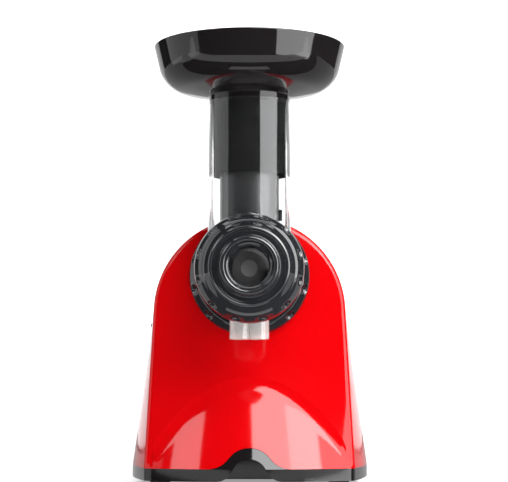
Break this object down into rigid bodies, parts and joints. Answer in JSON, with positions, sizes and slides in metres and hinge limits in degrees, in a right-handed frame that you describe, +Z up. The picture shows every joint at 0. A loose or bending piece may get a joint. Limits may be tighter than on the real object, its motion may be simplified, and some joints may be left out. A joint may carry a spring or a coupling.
{
  "type": "slow juicer",
  "caption": "Electric slow juicer: red motor housing on a black base, clear horizontal auger drum with a feed tube, smoky lock ring and cap, and a round black hopper tray.",
  "frame": {"origin": "on the ground, under the middle of the whole length and width", "axes": "+Z up, -Y towards the drum and its nozzle, +X to the right as seen from the drum end"},
  "size_m": [0.1852, 0.3422, 0.3197],
  "materials": {
    "red_shell": "polished red moulding",
    "black_gloss": "polished black moulding",
    "black_matte": "fine-textured black moulding",
    "clear": "clear moulded plastic",
    "smoke": "smoky translucent moulding",
    "rubber": "soft black rubber",
    "steel": "bright steel",
    "aluminium": "die-cast aluminium",
    "laminations": "stacked steel sheets",
    "copper": "varnished copper wire",
    "brass": "plain brass",
    "gear_white": "natural acetal",
    "capacitor": "pale plastic case"
  },
  "bodies": {
    "machine": {"base_tray": "black_gloss", "rubber_feet": "rubber", "foot_screws": "steel", "housing_shell": "red_shell", "docking_socket": "black_matte", "gearbox_case": "black_matte", "gearbox_cover": "black_matte", "cover_screws": "steel", "output_bush": "brass", "idler_pin": "steel", "motor_bearings": "steel", "front_bell": "aluminium", "rear_bell": "aluminium", "stator_core": "laminations", "stator_windings": "copper", "tie_bolts": "steel", "motor_mounts": "black_matte", "run_capacitor": "capacitor", "power_inlet": "black_matte", "inlet_pins": "brass", "switch_bezel": "black_gloss", "rocker_pin": "steel", "juicing_drum": "clear", "strainer": "steel", "shaft_seal": "rubber"},
    "rotor": {"pinion_shaft": "steel", "rotor_core": "laminations", "cooling_fan": "black_matte"},
    "idler": {"idler_gear": "gear_white"},
    "drive": {"output_gear": "gear_white", "drive_coupling": "steel", "auger": "black_matte"},
    "ring": {"lock_ring": "smoke"},
    "cap": {"front_cap": "smoke"},
    "nozzle": {"pulp_nozzle": "smoke"},
    "tray": {"hopper_tray": "black_gloss"},
    "pusher": {"food_pusher": "black_matte"},
    "rocker": {"power_rocker": "black_matte"}
  },
  "joints": [
    {"name": "rotor_spin", "type": "hinge", "parent": "machine", "child": "rotor", "pos_m": [0, 0.0251, 0.0972], "axis": [0, 1, 0], "continuous": true},
    {"name": "idler_spin", "type": "hinge", "parent": "machine", "child": "idler", "pos_m": [0, -0.0339, 0.1272], "axis": [0, 1, 0], "continuous": true},
    {"name": "drive_spin", "type": "hinge", "parent": "machine", "child": "drive", "pos_m": [0, -0.0589, 0.1572], "axis": [0, 1, 0], "continuous": true},
    {"name": "lock_ring_turn", "type": "hinge", "parent": "machine", "child": "ring", "pos_m": [0, -0.0659, 0.1572], "axis": [0, 1, 0], "range_deg": [0, 45]},
    {"name": "cap_turn", "type": "hinge", "parent": "machine", "child": "cap", "pos_m": [0, -0.1439, 0.1572], "axis": [0, 1, 0], "range_deg": [0, 30]},
    {"name": "nozzle_turn", "type": "hinge", "parent": "cap", "child": "nozzle", "pos_m": [0, -0.1569, 0.1572], "axis": [0, 1, 0], "range_deg": [0, 120]},
    {"name": "tray_lift", "type": "slide", "parent": "machine", "child": "tray", "axis": [0, 0, 1], "range_m": [0, 0.08]},
    {"name": "pusher_lift", "type": "slide", "parent": "tray", "child": "pusher", "axis": [0, 0, 1], "range_m": [0, 0.15]},
    {"name": "rocker_tilt", "type": "hinge", "parent": "machine", "child": "rocker", "pos_m": [-0.07127, 0.0161, 0.1195], "axis": [0, 1, 0], "range_deg": [-7, 7]}
  ],
  "couplings": [
    {"joint": "idler_spin", "follows": "rotor_spin", "ratio": -0.25},
    {"joint": "drive_spin", "follows": "rotor_spin", "ratio": 0.0625}
  ]
}
